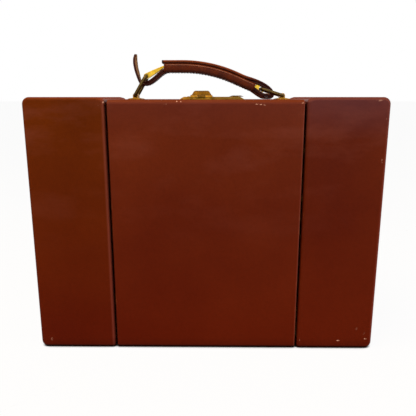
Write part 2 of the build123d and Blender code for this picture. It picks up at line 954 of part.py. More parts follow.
parts = {
    "body_boards": body_boards(),
    "body_leather": body_leather(),
    "body_lining": body_lining(),
    "inner_shelf": inner_shelf(),
    "cover_boards": cover_boards(),
    "cover_leather": cover_leather(),
    "cover_lining": cover_lining(),
    "cover_pocket": cover_pocket(),
    "cover_hinges": cover_hinges(),
    "cover_hinge_pins": cover_pins(),
    "lock_case": lock_case(),
    "lock_plate": lock_plate(),
    "lock_bolt": lock_bolt(),
    "thumb_piece": thumb_piece(),
    "hasp_hinge_plate": hasp_hinge_plate(),
    "hasp_pin": hasp_pin(),
    "hasp": hasp(),
    "hasp_staple": hasp_staple(),
    "left_ring": ring(left_pivot, left_bar),
    "right_ring": ring(right_pivot, right_bar),
    "left_ring_staple": ring_staple(left_pivot),
    "right_ring_staple": ring_staple(right_pivot),
    "grip_leather": grip_leather(),
    "grip_core": grip_core(),
    "grip_band": grip_band(),
    "left_link": left_link(),
    "right_link": right_link(),
    "left_strap": left_strap(),
    "right_strap": right_strap(),
}
for name, part in (
    ("wing_boards", wing_boards()),
    ("wing_leather", wing_leather()),
    ("wing_lining", wing_lining()),
    ("bottle_loops", wing_loops()),
    ("wing_strike", wing_strike()),
    ("ball_catch", ball_catch()),
    ("wing_hinge_leaves", butt_leaves(1)),
    ("body_hinge_leaves", butt_leaves(-1)),
    ("wing_hinge_pins", butt_pins()),
):
    for side, placed in both_sides(part).items():
        parts[side + "_" + name] = placed

os.makedirs("parts", exist_ok=True)
for name, part in parts.items():
    export_step(part, "parts/" + name + ".step")
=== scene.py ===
import math
from functools import partial

import bpy
from mathutils import Matrix, Quaternion, Vector


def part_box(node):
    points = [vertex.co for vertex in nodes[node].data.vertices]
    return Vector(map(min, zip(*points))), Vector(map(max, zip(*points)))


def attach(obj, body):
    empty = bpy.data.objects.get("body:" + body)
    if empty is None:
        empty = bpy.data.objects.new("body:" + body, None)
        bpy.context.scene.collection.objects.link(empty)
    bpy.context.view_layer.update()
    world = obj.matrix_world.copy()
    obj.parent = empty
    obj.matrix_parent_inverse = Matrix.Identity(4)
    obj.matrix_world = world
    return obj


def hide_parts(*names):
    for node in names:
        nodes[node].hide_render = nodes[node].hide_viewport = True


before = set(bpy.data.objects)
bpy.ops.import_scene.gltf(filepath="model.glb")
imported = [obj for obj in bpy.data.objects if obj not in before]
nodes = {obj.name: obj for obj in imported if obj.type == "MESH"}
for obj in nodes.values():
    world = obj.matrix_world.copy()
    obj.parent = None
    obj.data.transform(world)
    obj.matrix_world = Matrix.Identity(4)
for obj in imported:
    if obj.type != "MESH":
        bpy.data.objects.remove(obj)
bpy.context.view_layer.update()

scene = bpy.context.scene
mm = 0.001
sideways = Vector((1, 0, 0))
depthwise = Vector((0, 1, 0))
upward = Vector((0, 0, 1))


# camera, as the photograph was taken: level with the top of the case and looking a little down
print("stage: camera")
view = {
    "place": (0.00707, -0.5363, 0.266),
    "down": 13.15,  # degrees below level
    "left": 0.58,  # degrees
    "focal": 475,  # pixels
    "picture": 416,  # pixels
    "sensor": 36,  # mm
    "near": 0.01,  # m, nothing nearer than this is drawn
}
cameraData = bpy.data.cameras.new("camera")
cameraData.sensor_width = view["sensor"]
cameraData.lens = view["focal"] / view["picture"] * view["sensor"]
cameraData.clip_start = view["near"]
camera = bpy.data.objects.new("camera", cameraData)
camera.location = view["place"]
camera.rotation_euler = (math.radians(90 - view["down"]), 0, math.radians(view["left"]))
scene.collection.objects.link(camera)
scene.camera = camera
scene.view_settings.view_transform = "Standard"


# colours and nodes
def linear(code):
    # an sRGB hex colour as linear red, green, blue and alpha
    parts = [int(code[i : i + 2], 16) / 255 for i in (0, 2, 4)]
    return tuple(c / 12.92 if c <= 0.04045 else ((c + 0.055) / 1.055) ** 2.4 for c in parts) + (1.0,)


def perSize(size):
    # a pattern's scale from the size of one of its figures in mm
    return 1 / (size * mm)


waveTurn = math.pi / 10  # what a wave texture's scale takes beside that, for one wave in that size


def linkInto(tree, node, links):
    # sources for a node's sockets; a node stands for its first output
    for key, source in links.items():
        socket = source.outputs[0] if isinstance(source, bpy.types.Node) else source
        tree.links.new(socket, node.inputs[key])


def span(start, end, most=1.0, least=0.0):
    # settings for mapping a range onto a share
    return {"From Min": start, "From Max": end, "To Min": least, "To Max": most}


def addNode(tree, kind, settings=None, links=None):
    # a node with its properties, its unlinked socket values, its colour stops and its links
    node = tree.nodes.new("ShaderNode" + kind)
    for key, value in (settings or {}).items():
        if key == "stops":
            ramp = node.color_ramp
            while len(ramp.elements) < len(value):
                ramp.elements.new(0.5)
            for element, (place, colour) in zip(ramp.elements, value):
                element.position = place
                element.color = linear(colour) if isinstance(colour, str) else (colour, colour, colour, 1)
        elif isinstance(key, str) and hasattr(node, key):
            setattr(node, key, value)
        else:
            node.inputs[key].default_value = value
    linkInto(tree, node, links or {})
    return node


def newMaterial(name, settings):
    # a principled material; gives its tree, its shader and the place on the surface in metres
    material = bpy.data.materials.new(name)
    material.use_nodes = True
    tree = material.node_tree
    tree.nodes.clear()
    shader = addNode(tree, "BsdfPrincipled", settings)
    addNode(tree, "OutputMaterial", links={"Surface": shader})
    place = addNode(tree, "TexCoord").outputs["Object"]
    return material, tree, shader, place


def grainBump(tree, layers, normal=None):
    # bumps laid over each other: (height socket, strength, height in mm)
    for height, strength, depth in layers:
        links = {"Height": height}
        if normal:
            links["Normal"] = normal
        bump = addNode(tree, "Bump", {"Strength": strength, "Distance": depth * mm}, links)
        normal = bump.outputs["Normal"]
    return normal


def fadeAlong(tree, place, colour, fade):
    # another colour taking over along X: where it starts and is full, in mm, its share and its tone
    start, end, most, tone = fade
    across = addNode(tree, "SeparateXYZ", links={0: place})
    share = addNode(tree, "MapRange", span(start * mm, end * mm, most), {"Value": across})
    return addNode(tree, "Mix", {"data_type": "RGBA", 7: linear(tone)}, {0: share, 6: colour}).outputs[2]


def edgeShare(tree, place, box, width):
    # 1 along the edges of a box and 0 further in than a width: the middle one of the distances to its faces
    low, high = box
    middle, half = (low + high) / 2, (high - low) / 2
    off = addNode(tree, "VectorMath", {"operation": "SUBTRACT", 1: middle}, {0: place})
    size = addNode(tree, "VectorMath", {"operation": "ABSOLUTE"}, {0: off})
    inside = addNode(tree, "VectorMath", {"operation": "SUBTRACT", 0: half}, {1: size})
    x, y, z = addNode(tree, "SeparateXYZ", links={0: inside}).outputs
    lower = addNode(tree, "Math", {"operation": "MINIMUM"}, {0: x, 1: y})
    upper = addNode(tree, "Math", {"operation": "MAXIMUM"}, {0: x, 1: y})
    rest = addNode(tree, "Math", {"operation": "MINIMUM"}, {0: upper, 1: z})
    median = addNode(tree, "Math", {"operation": "MAXIMUM"}, {0: lower, 1: rest})
    return addNode(tree, "MapRange", span(0.0, width, 0.0, 1.0), {"Value": median})


def scuffShare(tree, place, marks):
    # pale rubs at places on the front, broken up by fine noise: (x, z, width, height, strength) in mm
    skin = 1.5 * mm  # how far behind the front the middle of a mark lies
    depth = 10 * mm
    fine = {"Scale": perSize(1.1), "Detail": 3.0, "Roughness": 0.7}
    grit = addNode(tree, "TexNoise", fine, {"Vector": place})
    total = None
    for x, z, width, height, strength in marks:
        centre = Vector((x * mm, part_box("cover_leather")[0].y + skin, z * mm))
        off = addNode(tree, "VectorMath", {"operation": "SUBTRACT", 1: centre}, {0: place})
        scale = (2 / (width * mm), 2 / depth, 2 / (height * mm))
        spread = addNode(tree, "VectorMath", {"operation": "MULTIPLY", 1: scale}, {0: off})
        away = addNode(tree, "VectorMath", {"operation": "LENGTH"}, {0: spread}).outputs["Value"]
        near = addNode(tree, "MapRange", span(1.0, 0.0, strength, 0.0), {"Value": away})
        if total:
            near = addNode(tree, "Math", {"operation": "MAXIMUM"}, {0: total, 1: near})
        total = near
    broken = addNode(tree, "Math", {"operation": "ADD"}, {0: total, 1: grit.outputs["Fac"]})
    gate = {"From Min": 0.72, "From Max": 1.0, "interpolation_type": "SMOOTHSTEP"}
    return addNode(tree, "MapRange", gate, {"Value": broken})


# glazed calf over boards: deep red-brown with a low wax polish, tan where its edges are rubbed; painted light
# makes it browner towards the top, lighter on upward and right-facing roundings and hazy along the top, and
# painted shade takes it nearly black round the foot
def glazedCalf(name, box, look):
    material, tree, shader, place = newMaterial(name, {"Specular IOR Level": 0.025})
    _, back, height = addNode(tree, "SeparateXYZ", links={0: place}).outputs
    direction = addNode(tree, "TexCoord").outputs["Normal"]
    toRight, _, facing = addNode(tree, "SeparateXYZ", links={0: direction}).outputs  # facing: upward

    cloudy = {"Scale": perSize(110), "Detail": 3.0, "Roughness": 0.5}
    clouds = addNode(tree, "TexNoise", cloudy, {"Vector": place}).outputs["Fac"]
    # painted light: the lower part deep red and the upper part browner, for the sheen and light that fall
    # towards the top
    paintedLightRise = addNode(tree, "MapRange", span(0.02, 0.25), {"Value": height})
    stops = [(0.35, look["dark"]), (0.65, look["light"])]
    upper = addNode(tree, "ValToRGB", {"stops": stops}, {"Fac": clouds})
    stops = [(0.35, "541403"), (0.65, "5B1905")]
    lower = addNode(tree, "ValToRGB", {"stops": stops}, {"Fac": clouds})
    hue = addNode(tree, "Mix", {"data_type": "RGBA"}, {0: paintedLightRise, 6: lower, 7: upper}).outputs[2]
    speckled = {"Scale": perSize(2.4), "Detail": 5.0, "Roughness": 0.65}
    flecks = addNode(tree, "TexNoise", speckled, {"Vector": place}).outputs["Fac"]
    stops = [(0.25, 0.82), (0.5, 1.0), (0.75, 1.12)]
    fleckTone = addNode(tree, "ValToRGB", {"stops": stops}, {"Fac": flecks})
    blend = {"data_type": "RGBA", "blend_type": "MULTIPLY", 0: 0.6}
    colour = addNode(tree, "Mix", blend, {6: hue, 7: fleckTone}).outputs[2]

    # a height that falls off towards the back
    slant = addNode(tree, "Math", {"operation": "MULTIPLY_ADD", 1: -0.5, 2: box[0].y / 2}, {0: back})
    brow = addNode(tree, "Math", {"operation": "ADD"}, {0: slant, 1: height})
    # wax has bloomed here and there on the upper part
    drawn = addNode(tree, "Mapping", {"Scale": (0.6, 1.0, 1.6)}, {"Vector": place})
    patchy = {"Scale": perSize(66), "Detail": 5.0, "Roughness": 0.62}
    patches = addNode(tree, "TexNoise", patchy, {"Vector": drawn}).outputs["Fac"]
    spread = addNode(tree, "MapRange", span(0.5, 0.75), {"Value": patches})
    raised = addNode(tree, "MapRange", span(0.1, 0.25), {"Value": height})
    bloom = addNode(tree, "Math", {"operation": "MULTIPLY"}, {0: spread, 1: raised})
    # edges are rubbed in places
    edge = edgeShare(tree, place, box, 5.0 * mm)
    coarse = {"Scale": perSize(13), "Detail": 6.0, "Roughness": 0.75}
    rubs = addNode(tree, "TexNoise", coarse, {"Vector": place}).outputs["Fac"]
    worn = addNode(tree, "Math", {"operation": "MULTIPLY"}, {0: edge, 1: rubs})
    # each of these lays a colour over the leather by a share of a height or of the way the surface faces
    washes = [
        # painted highlight: roundings that turn upward are lighter and pinkish, by each look's share
        (facing, (0.03, 0.25), look["rubAndHighlight"], "84483A"),
        # painted light: faces turned upward are orange-brown, as if lit warmly from above
        (facing, (0.2, 0.7), 0.85, "72300A"),
        # painted highlight: faces turned to the right are lighter, where the roundings by the gaps catch the
        # light
        (toRight, (0.03, 0.5), 0.4, "864438"),
        # painted shade: darker over the lowest 12 mm
        (height, (0.012, 0.001), 0.45, "3A0A03"),
        # painted shade: nearly black over the rounding at the foot, which faces down
        (height, (0.0036, 0.0016), 0.92, "120402"),
        # painted reflection: a purplish haze along the top, by each look's share
        (brow, (0.225, 0.262), look["reflectionHaze"], "5C3C44"),
        (bloom, (0.0, 1.0), 0.32, "82483C"),
        (worn, (0.42, 0.72), 0.5, "A0603A"),
    ]
    if look["marks"]:
        washes.append((scuffShare(tree, place, look["marks"]), (0.0, 1.0), 1.0, "D2A08A"))
    for source, (start, end), most, tone in washes:
        share = addNode(tree, "MapRange", span(start, end, most), {"Value": source})
        laid = addNode(tree, "Mix", {"data_type": "RGBA", 7: linear(tone)}, {0: share, 6: colour})
        colour = laid.outputs[2]

    streaks = addNode(tree, "Mapping", {"Scale": (1.0, 1.0, 0.16)}, {"Vector": place})
    polish = addNode(tree, "TexNoise", {"Scale": perSize(17), "Detail": 4.0}, {"Vector": streaks})
    gloss = addNode(tree, "MapRange", span(0.3, 0.7, 0.46, 0.34), {"Value": polish.outputs["Fac"]})
    dusty = addNode(tree, "MapRange", span(0.7, 1.0, 0.5), {"Value": facing})
    dull = addNode(tree, "Math", {"operation": "ADD"}, {0: gloss, 1: dusty})

    swell = addNode(tree, "TexNoise", {"Scale": perSize(30), "Detail": 2.0}, {"Vector": place})
    pebbled = {"Scale": perSize(1.6), "feature": "DISTANCE_TO_EDGE"}
    cells = addNode(tree, "TexVoronoi", pebbled, {"Vector": place})
    pores = addNode(tree, "TexVoronoi", {"Scale": perSize(0.53)}, {"Vector": place})
    layers = [
        (swell.outputs["Fac"], 0.35, 0.6),
        (cells.outputs["Distance"], 0.08, 0.12),
        (pores.outputs["Distance"], 0.1, 0.08),
    ]
    linkInto(tree, shader, {"Base Color": colour, "Roughness": dull, "Normal": grainBump(tree, layers)})
    return material


# bridle leather of the handle: waxed dark brown, redder on the sides, tan where hands and rings rub it
def bridleLeather(name, dark, light, rubAndHighlight, gloss, fade=None):
    material, tree, shader, place = newMaterial(name, {"Specular IOR Level": 0.08})
    cloudy = {"Scale": perSize(11), "Detail": 5.0, "Roughness": 0.6}
    clouds = addNode(tree, "TexNoise", cloudy, {"Vector": place}).outputs["Fac"]
    hue = addNode(tree, "ValToRGB", {"stops": [(0.32, dark), (0.66, light)]}, {"Fac": clouds})
    patchy = {"Scale": perSize(3.8), "Detail": 6.0, "Roughness": 0.8}
    wear = addNode(tree, "TexNoise", patchy, {"Vector": place}).outputs["Fac"]
    share = addNode(tree, "MapRange", span(0.56, 0.76, 0.55), {"Value": wear})
    colour = addNode(tree, "Mix", {"data_type": "RGBA", 7: linear(rubAndHighlight)}, {0: share, 6: hue}).outputs[2]
    if fade:
        colour = fadeAlong(tree, place, colour, fade)
    sheen = addNode(tree, "MapRange", span(0.3, 0.7, gloss + 0.16, gloss), {"Value": clouds})
    pebbled = {"Scale": perSize(0.77), "feature": "DISTANCE_TO_EDGE"}
    grain = addNode(tree, "TexVoronoi", pebbled, {"Vector": place})
    folded = {"Scale": perSize(3), "Detail": 4.0, "Distortion": 0.8}
    creases = addNode(tree, "TexNoise", folded, {"Vector": place})
    layers = [(creases.outputs["Fac"], 0.35, 0.25), (grain.outputs["Distance"], 0.25, 0.1)]
    linkInto(tree, shader, {"Base Color": colour, "Roughness": sheen, "Normal": grainBump(tree, layers)})
    return material


# waxed linen thread: two plies twisted, a little fuzzy
def linenThread(name, colour):
    material, tree, shader, place = newMaterial(name, {"Roughness": 0.7, "Sheen Weight": 0.2})
    twisted = {"Scale": perSize(0.35) * waveTurn, "Distortion": 1.5, "bands_direction": "DIAGONAL"}
    plies = addNode(tree, "TexWave", twisted, {"Vector": place}).outputs["Fac"]
    tone = addNode(tree, "ValToRGB", {"stops": [(0.0, "2A120A"), (0.6, colour)]}, {"Fac": plies})
    linkInto(tree, shader, {"Base Color": tone, "Normal": grainBump(tree, [(plies, 0.5, 0.1)])})
    return material


# watered silk: dull gold, finely ribbed, with the faint wavy sheen of moire
def wateredSilk(name):
    settings = {"Sheen Weight": 0.3, "Sheen Roughness": 0.4, "Anisotropic": 0.3, "Specular IOR Level": 0.3}
    material, tree, shader, place = newMaterial(name, settings)
    stretched = addNode(tree, "Mapping", {"Scale": (1.0, 1.0, 0.3)}, {"Vector": place})
    flowing = {"Scale": perSize(33), "Detail": 1.0, "Distortion": 0.6}
    flow = addNode(tree, "TexNoise", flowing, {"Vector": stretched}).outputs["Fac"]
    bands = addNode(tree, "Math", {"operation": "MULTIPLY", 1: 120.0}, {0: flow})
    waves = addNode(tree, "Math", {"operation": "SINE"}, {0: bands})
    figure = addNode(tree, "MapRange", span(-1.0, 1.0), {"Value": waves})
    ribbed = {"Scale": perSize(0.45) * waveTurn, "bands_direction": "Z", "Distortion": 0.6, "Detail": 1.0}
    ribs = addNode(tree, "TexWave", ribbed, {"Vector": place}).outputs["Fac"]
    stops = [(0.1, "977647"), (0.5, "9E7D4D"), (0.9, "AA8A5A")]
    tone = addNode(tree, "ValToRGB", {"stops": stops}, {"Fac": figure})
    shaded = addNode(tree, "ValToRGB", {"stops": [(0.1, 0.8), (0.8, 1.0)]}, {"Fac": ribs})
    blend = {"data_type": "RGBA", "blend_type": "MULTIPLY", 0: 0.7}
    colour = addNode(tree, "Mix", blend, {6: tone, 7: shaded}).outputs[2]
    rough = addNode(tree, "MapRange", span(0.0, 1.0, 0.56, 0.36), {"Value": figure})
    relief = grainBump(tree, [(ribs, 0.4, 0.12), (figure, 0.06, 0.1)])
    linkInto(tree, shader, {"Base Color": colour, "Roughness": rough, "Normal": relief})
    return material


# deal boards: sawn pine with its grain along the length and a few darker rings
def dealBoard(name):
    material, tree, shader, place = newMaterial(name, {"Roughness": 0.62, "Specular IOR Level": 0.3})
    turned = addNode(tree, "Mapping", {"Scale": (0.12, 1.0, 1.0)}, {"Vector": place})
    ringed = {"Scale": perSize(5.7) * waveTurn, "Distortion": 6.0, "Detail": 3.0, "bands_direction": "Z"}
    rings = addNode(tree, "TexWave", ringed, {"Vector": turned}).outputs["Fac"]
    stops = [(0.1, "A8835A"), (0.7, "C9A878"), (1.0, "8F6A44")]
    tone = addNode(tree, "ValToRGB", {"stops": stops}, {"Fac": rings})
    fibres = addNode(tree, "TexNoise", {"Scale": perSize(1.1), "Detail": 3.0}, {"Vector": turned})
    relief = grainBump(tree, [(fibres.outputs["Fac"], 0.4, 0.15)])
    linkInto(tree, shader, {"Base Color": tone, "Normal": relief})
    return material


# brass and steel: edges rounded by a bevel in the shading, clouded with tarnish, finely scratched
def agedMetal(name, clean, dull, spread, roughness, bevel, fade=None):
    material, tree, shader, place = newMaterial(name, {"Metallic": 1.0})
    cloudy = {"Scale": perSize(6.7), "Detail": 6.0, "Roughness": 0.7}
    clouds = addNode(tree, "TexNoise", cloudy, {"Vector": place}).outputs["Fac"]
    stops = [(0.5 - spread, dull), (0.5 + spread, clean)]
    colour = addNode(tree, "ValToRGB", {"stops": stops}, {"Fac": clouds})
    if fade:
        colour = fadeAlong(tree, place, colour, fade)
    rough = addNode(tree, "MapRange", span(0.3, 0.7, roughness, roughness + 0.15), {"Value": clouds})
    drawn = addNode(tree, "Mapping", {"Scale": (0.08, 1.0, 1.0)}, {"Vector": place})
    scratches = addNode(tree, "TexNoise", {"Scale": perSize(0.33), "Detail": 2.0}, {"Vector": drawn})
    rounded = addNode(tree, "Bevel", {"samples": 4, "Radius": bevel * mm})
    layers = [(clouds, 0.12, 0.1), (scratches.outputs["Fac"], 0.1, 0.03)]
    relief = grainBump(tree, layers, rounded)
    linkInto(tree, shader, {"Base Color": colour, "Roughness": rough, "Normal": relief})
    return material


# meshes
def meshObject(name, points, faces):
    mesh = bpy.data.meshes.new(name)
    mesh.from_pydata(points, [], faces)
    mesh.update()
    made = bpy.data.objects.new(name, mesh)
    scene.collection.objects.link(made)
    return made


def meshPiece(name, points, faces, body, materials, slot=None, paint=None, sharp=35):
    # a piece that rides on a body; paint gives each face the number of its material
    piece = meshObject(name, points, faces)
    for material in materials:
        piece.data.materials.append(material)
    for number, face in enumerate(piece.data.polygons):
        face.use_smooth = True
        if paint:
            face.material_index = paint[number]
    piece.data.set_sharp_from_angle(angle=math.radians(sharp))
    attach(piece, body)
    return piece


def cutAway(piece, points, faces):
    # a boolean cut, applied at once
    cutter = meshObject("cutter", points, faces)
    cut = piece.modifiers.new("cut", "BOOLEAN")
    cut.object = cutter
    cut.solver = "EXACT"
    bpy.context.view_layer.update()
    done = bpy.data.meshes.new_from_object(piece.evaluated_get(bpy.context.evaluated_depsgraph_get()))
    piece.modifiers.clear()
    piece.data = done
    bpy.data.objects.remove(cutter)
    return piece


def mergeShapes(shapes):
    points, faces = [], []
    for shapePoints, shapeFaces in shapes:
        start = len(points)
        points += shapePoints
        faces += [tuple(start + v for v in face) for face in shapeFaces]
    return points, faces


def mirrored(side, points, faces):
    # a shape as it is for side 1, and its mirror image for side -1
    if side > 0:
        return points, faces
    return [Vector((-p.x, p.y, p.z)) for p in points], [tuple(reversed(face)) for face in faces]


def upright(places):
    # points in the middle plane of the case from x and z in mm
    return [Vector((x * mm, 0, z * mm)) for x, z in places]


def pathLength(path):
    return sum((b - a).length for a, b in zip(path, path[1:]))


def evenPath(points, step):
    total = pathLength(points)
    count = max(2, round(total / step))
    even = [points[0].copy()]
    walked = 0.0
    index = 0
    for n in range(1, count):
        target = total * n / count
        while walked + (points[index + 1] - points[index]).length < target:
            walked += (points[index + 1] - points[index]).length
            index += 1
        run = points[index + 1] - points[index]
        even.append(points[index] + run * ((target - walked) / run.length))
    even.append(points[-1].copy())
    return even


def smoothPath(points, step):
    # a smooth curve through points, in even steps (centripetal Catmull-Rom)
    fineness = 24
    places = [2 * points[0] - points[1]] + points + [2 * points[-1] - points[-2]]
    fine = []
    for a, b, c, d in zip(places, places[1:], places[2:], places[3:]):
        ta = 0.0
        tb = ta + (b - a).length ** 0.5
        tc = tb + (c - b).length ** 0.5
        td = tc + (d - c).length ** 0.5
        for n in range(fineness):
            t = tb + (tc - tb) * n / fineness
            ab = a.lerp(b, (t - ta) / (tb - ta))
            bc = b.lerp(c, (t - tb) / (tc - tb))
            cd = c.lerp(d, (t - tc) / (td - tc))
            low = ab.lerp(bc, (t - ta) / (tc - ta))
            high = bc.lerp(cd, (t - tb) / (td - tb))
            fine.append(low.lerp(high, (t - tb) / (tc - tb)))
    fine.append(places[-2])
    return evenPath(fine, step)


def between(stops, share):
    # a value between stops, eased from one to the next
    for (a, low), (b, high) in zip(stops, stops[1:]):
        if share <= b:
            t = (share - a) / (b - a)
            return low + (high - low) * t * t * (3 - 2 * t)
    return stops[-1][1]


def circle(count):
    # cosine and sine of even steps round a circle
    angles = [2 * math.pi * n / count for n in range(count)]
    return [(math.cos(angle), math.sin(angle)) for angle in angles]


def ringFaces(rings, size):
    # the faces between rings of points that follow each other
    corners = [(i * size + j, i * size + (j + 1) % size) for i in range(rings - 1) for j in range(size)]
    return [(a, b, b + size, a + size) for a, b in corners]


def roundedSection(width, height, radius, steps=4):
    # a rectangle with round corners as (across, out) offsets. With 4 steps its 20 faces start at the outer
    # right corner: 4 is the outer flat, 9 the left edge, 14 the inner flat and 19 the right edge
    ring = []
    for turn, (side, rise) in enumerate(((1, 1), (-1, 1), (-1, -1), (1, -1))):
        for step in range(steps + 1):
            angle = math.pi / 2 * (turn + step / steps)
            across = side * (width / 2 - radius) + radius * math.cos(angle)
            out = rise * (height / 2 - radius) + radius * math.sin(angle)
            ring.append((across, out))
    return ring


def frameAt(path, i, across, twist=0.0):
    # the run, across and out directions of a path at one of its points
    run = (path[min(i + 1, len(path) - 1)] - path[max(i - 1, 0)]).normalized()
    side = Quaternion(run, twist) @ across
    return run, side, run.cross(side).normalized()


def sweep(path, section, across, twist=None):
    # rings of a section in mm along a path, closed at both ends. Section is one ring or a function of the
    # share of the path, as twist is. Gives points, faces and the section's face that each face comes from
    points = []
    count = len(path)
    for i, place in enumerate(path):
        share = i / (count - 1)
        _, side, out = frameAt(path, i, across, twist(share) if twist else 0.0)
        ring = section(share) if callable(section) else section
        points += [place + side * (a * mm) + out * (o * mm) for a, o in ring]
    size = len(ring)
    ends = [tuple(reversed(range(size))), tuple(range((count - 1) * size, count * size))]
    segments = list(range(size)) * (count - 1) + [-1, -1]
    return points, ringFaces(count, size) + ends, segments


def stitch(length, radius):
    # one stitch lying along X, its ends going down into the leather
    points = []
    rings, sides = 9, 6  # few are enough for a thread this thin
    for i in range(rings):
        share = i / (rings - 1)
        x = (share - 0.5) * length
        thick = radius * math.sin(math.pi * min(max(share, 0.06), 0.94)) ** 0.5
        drop = -radius * 1.3 * abs(2 * share - 1) ** 3
        points += [Vector((x, thick * c, thick * 0.8 * s + drop)) for c, s in circle(sides)]
    faces = [(a, d, c, b) for a, b, c, d in ringFaces(rings, sides)]
    ends = [tuple(range(sides)), tuple(reversed(range((rings - 1) * sides, rings * sides)))]
    return points, faces + ends


def stitchRow(path, across, offset, out, size, lean=(0.0, 1.0), skip=2.5):
    # stitches along a path, set across by an offset and out to the leather's surface. Size is their pitch,
    # length and radius, lean the shares of across and out in the way they face; all in mm
    pitch, length, radius = (value * mm for value in size)
    total = pathLength(path)
    sewn = total - 2 * skip * mm
    count = int(sewn / pitch)
    stitchPoints, stitchFaces = stitch(length, radius)
    shapes = []
    for n in range(count):
        share = (skip * mm + (n + 0.5) * sewn / count) / total
        i = round(share * (len(path) - 1))
        run, side, up = frameAt(path, i, across)
        facing = (side * lean[0] + up * lean[1]).normalized()
        place = path[i] + side * (offset * mm) + up * (out * mm)
        beside = facing.cross(run).normalized()
        shapes.append(([place + run * p.x + beside * p.y + facing * p.z for p in stitchPoints], stitchFaces))
    return shapes


def sewnPiece(name, rows, body, slot):
    meshPiece(name, *mergeShapes(rows), body, [thread], slot, sharp=80)


def sewBothSides(name, path, line, out, size, lean=(0.0, 1.0)):
    # a row of stitches along each side of a leather of the handle
    rows = []
    for side in (-1, 1):
        rows += stitchRow(path, depthwise, side * line, out, size, (side * lean[0], lean[1]))
    sewnPiece(name, rows, "grip", "handle_leather")


# floor, background and lamps: pale floor with the case's shadow on it, white behind, warm light from above
print("stage: floor and lamps")
studio = {
    "background": 0.3,  # strength of the even light from all round
    "floorWhite": 0.95,  # share of pure white in the floor as the camera sees it
    "floorReach": 30.0,  # m
    "shadeDistance": 0.012,  # m, what stands over the floor at less than this shades it
    "shadeLimits": (0.36, 0.62),  # open share of what is over the floor, from full shade to none
}
lamps = {  # place, aim, side of the square in m, power in W, colour
    "above": ((-0.3, -0.3, 1.3), (0, 0, 0.25), 0.7, 12.0, "FFD9A8"),
    "front": ((-0.5, -1.5, 0.95), (0, 0, 0.13), 1.2, 6.5, "FFF0DC"),
    "window": ((0.55, -1.6, 0.4), (0.1, 0, 0.2), 0.4, 4.0, "DCE2FF"),
    "side": ((1.1, -0.35, 0.45), (0, 0, 0.15), 0.4, 4.0, "FFEFE2"),
}


def whiteBackground(tree, lit, white, level):
    # what the camera and mirrors see is white, while the light on the object comes from the first shader
    path = addNode(tree, "LightPath").outputs
    seen = path["Is Camera Ray"]
    for ray in ("Is Glossy Ray", "Is Transmission Ray"):
        seen = addNode(tree, "Math", {"operation": "MAXIMUM"}, {0: seen, 1: path[ray]})
    share = addNode(tree, "Math", {"operation": "MULTIPLY", 1: level}, {0: seen})
    return addNode(tree, "MixShader", links={0: share, 1: lit, 2: white})


world = bpy.data.worlds.new("studio")
world.use_nodes = True
world.node_tree.nodes.clear()
lit = addNode(world.node_tree, "Background", {"Color": linear("F4F1EC"), "Strength": studio["background"]})
white = addNode(world.node_tree, "Background", {"Color": linear("FFFFFF"), "Strength": 1.0})
mixed = whiteBackground(world.node_tree, lit, white, 1.0)
addNode(world.node_tree, "OutputWorld", links={"Surface": mixed})
scene.world = world

# painted board: matt, nearly white, with a shadow that stays open, and painted shade, a dark matt colour, in
# gaps and under rounded edges
paleFloor = bpy.data.materials.new("paleFloor")
paleFloor.use_nodes = True
floorTree = paleFloor.node_tree
floorTree.nodes.clear()
mottle = addNode(floorTree, "TexNoise", {"Scale": perSize(170), "Detail": 3.0}).outputs["Fac"]
floorTone = addNode(floorTree, "ValToRGB", {"stops": [(0.3, "F0EFED"), (0.7, "F8F7F5")]}, {"Fac": mottle})
matt = addNode(floorTree, "BsdfDiffuse", links={"Color": floorTone})
glow = addNode(floorTree, "Emission", {"Color": linear("FFFFFF"), "Strength": 1.0})
mixed = whiteBackground(floorTree, matt, glow, studio["floorWhite"])
near = addNode(floorTree, "AmbientOcclusion", {"samples": 16, "Distance": studio["shadeDistance"]})
beyond = addNode(floorTree, "MapRange", span(*studio["shadeLimits"]), {"Value": near.outputs["AO"]})
# painted shade: a dark matt colour where the floor is closely overhung
paintedContactShade = addNode(floorTree, "BsdfDiffuse", {"Color": linear("2A1610")})
mixed = addNode(floorTree, "MixShader", links={0: beyond, 1: paintedContactShade, 2: mixed})
addNode(floorTree, "OutputMaterial", links={"Surface": mixed})
reach = studio["floorReach"]
corners = [(-reach, -reach, 0), (reach, -reach, 0), (reach, reach, 0), (-reach, reach, 0)]
floor = meshObject("floor", corners, [(0, 1, 2, 3)])
floor.data.materials.append(paleFloor)

for name, (place, aim, size, power, colour) in lamps.items():
    data = bpy.data.lights.new(name, "AREA")
    data.shape = "SQUARE"
    data.size = size
    data.energy = power
    data.color = linear(colour)[:3]
    light = bpy.data.objects.new(name, data)
    light.location = place
    light.rotation_euler = (Vector(aim) - Vector(place)).to_track_quat("-Z", "Y").to_euler()
    scene.collection.objects.link(light)


# leather: dark, light and rubbed tone, roughness. Metal: clean and dull tone, how far they mix, roughness,
# radius of the edges in mm. A fade: from x to x in mm, its share and tone
print("stage: materials")
handleSide = bridleLeather("waxedBridleLeather", "421603", "602506", "80441C", 0.34)
# painted shade: a darker copy of the side leather for the grip's underside
handleShadedFoot = bridleLeather("shadedFootBridleLeather", "2E0D04", "451A08", "6C3C1E", 0.36)
